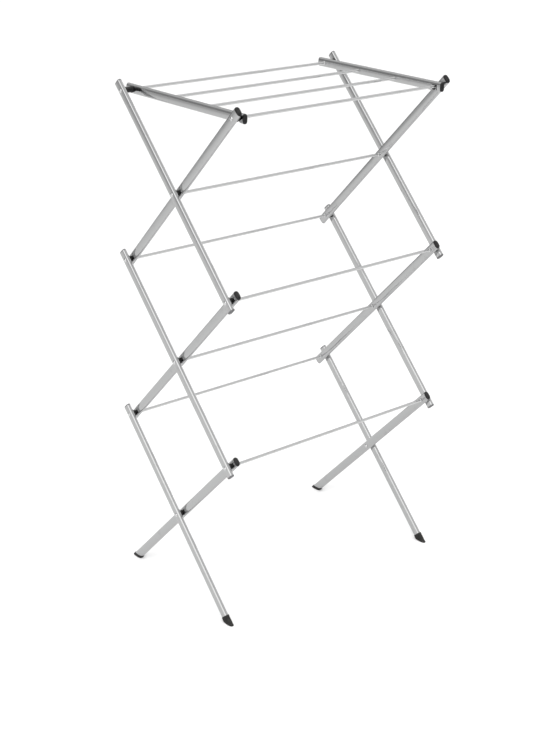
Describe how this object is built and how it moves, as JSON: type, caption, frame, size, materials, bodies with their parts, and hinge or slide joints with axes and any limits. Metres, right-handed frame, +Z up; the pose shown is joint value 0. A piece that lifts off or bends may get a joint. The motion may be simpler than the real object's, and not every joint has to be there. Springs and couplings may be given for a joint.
{
  "type": "clothes drying rack",
  "caption": "Free-standing folding accordion rack of flat-oval chrome tube with cross rods in tiers and a hinged top shelf, for drying clothes.",
  "frame": {"origin": "centre of the rack's footprint, on the floor it stands on", "axes": "+Z up; +X across the rack, along the rods; -Y towards the front, where the shelf's hooks and the tubes' black caps are"},
  "size_m": [0.5742, 0.3754, 1.066],
  "materials": {
    "chrome": "polished chrome plate on steel tube",
    "rod_chrome": "polished chrome plate on steel rod",
    "black_plastic": "satin black moulded plastic",
    "grey_plastic": "smooth grey moulded plastic",
    "rubber": "matte black rubber"
  },
  "bodies": {
    "lower_outer_frame": {"outer_tube_3_left": "chrome", "outer_tube_3_right": "chrome", "back_rod_3": "rod_chrome", "back_spacers_3": "black_plastic", "cross_rivets_3": "rod_chrome", "cross_spacers_3": "black_plastic", "outer_plugs_3": "grey_plastic", "front_boot_left": "rubber", "front_boot_right": "rubber"},
    "lower_inner_frame": {"inner_tube_3_left": "chrome", "inner_tube_3_right": "chrome", "tube_cap_3_left": "black_plastic", "tube_cap_3_right": "black_plastic", "back_shoe_left": "rubber", "back_shoe_right": "rubber"},
    "middle_inner_frame": {"inner_tube_2_left": "chrome", "inner_tube_2_right": "chrome", "inner_plugs_2": "grey_plastic", "tube_cap_2_left": "black_plastic", "tube_cap_2_right": "black_plastic"},
    "middle_outer_frame": {"outer_tube_2_left": "chrome", "outer_tube_2_right": "chrome", "outer_plugs_2": "grey_plastic", "front_rod_3": "rod_chrome", "front_spacers_3": "black_plastic", "cross_rod_2": "rod_chrome", "cross_spacers_2": "black_plastic", "back_rod_2": "rod_chrome", "back_spacers_2": "black_plastic"},
    "upper_inner_frame": {"inner_tube_1_left": "chrome", "inner_tube_1_right": "chrome", "inner_plugs_1": "grey_plastic", "tube_cap_1_left": "black_plastic", "tube_cap_1_right": "black_plastic", "top_rod_front": "rod_chrome", "top_front_spacers": "black_plastic"},
    "upper_outer_frame": {"outer_tube_1_left": "chrome", "outer_tube_1_right": "chrome", "outer_plugs_1": "grey_plastic", "front_rod_2": "rod_chrome", "front_spacers_2": "black_plastic", "cross_rod_1": "rod_chrome", "cross_spacers_1": "black_plastic", "shelf_rod_back": "rod_chrome", "shelf_bushes": "black_plastic"},
    "top_shelf": {"shelf_rail_left": "chrome", "shelf_rail_right": "chrome", "rail_plugs": "grey_plastic", "shelf_rod_mid_back": "rod_chrome", "shelf_rod_mid_front": "rod_chrome", "rail_hook_left": "black_plastic", "rail_hook_right": "black_plastic"}
  },
  "joints": [
    {"name": "fold", "type": "hinge", "parent": "lower_outer_frame", "child": "lower_inner_frame", "pos_m": [0, 0, 0.18117], "axis": [-1, 0, 0], "range_deg": [0, 73]},
    {"name": "back_pivot_3", "type": "hinge", "parent": "lower_outer_frame", "child": "middle_inner_frame", "pos_m": [0, 0.165, 0.35367], "axis": [-1, 0, 0], "range_deg": [0, 73]},
    {"name": "cross_pivot_2", "type": "hinge", "parent": "middle_inner_frame", "child": "middle_outer_frame", "pos_m": [0, 0, 0.52617], "axis": [1, 0, 0], "range_deg": [0, 73]},
    {"name": "back_pivot_2", "type": "hinge", "parent": "middle_outer_frame", "child": "upper_inner_frame", "pos_m": [0, 0.165, 0.69867], "axis": [-1, 0, 0], "range_deg": [0, 73]},
    {"name": "cross_pivot_1", "type": "hinge", "parent": "upper_inner_frame", "child": "upper_outer_frame", "pos_m": [0, 0, 0.87117], "axis": [1, 0, 0], "range_deg": [0, 73]},
    {"name": "shelf_pivot", "type": "hinge", "parent": "upper_outer_frame", "child": "top_shelf", "pos_m": [0, 0.165, 1.04367], "axis": [-1, 0, 0], "range_deg": [0, 300]}
  ],
  "couplings": [
    {"joint": "back_pivot_3", "follows": "fold", "ratio": 1},
    {"joint": "cross_pivot_2", "follows": "fold", "ratio": 1},
    {"joint": "back_pivot_2", "follows": "fold", "ratio": 1},
    {"joint": "cross_pivot_1", "follows": "fold", "ratio": 1},
    {"joint": "shelf_pivot", "follows": "fold", "ratio": 4.1096}
  ]
}
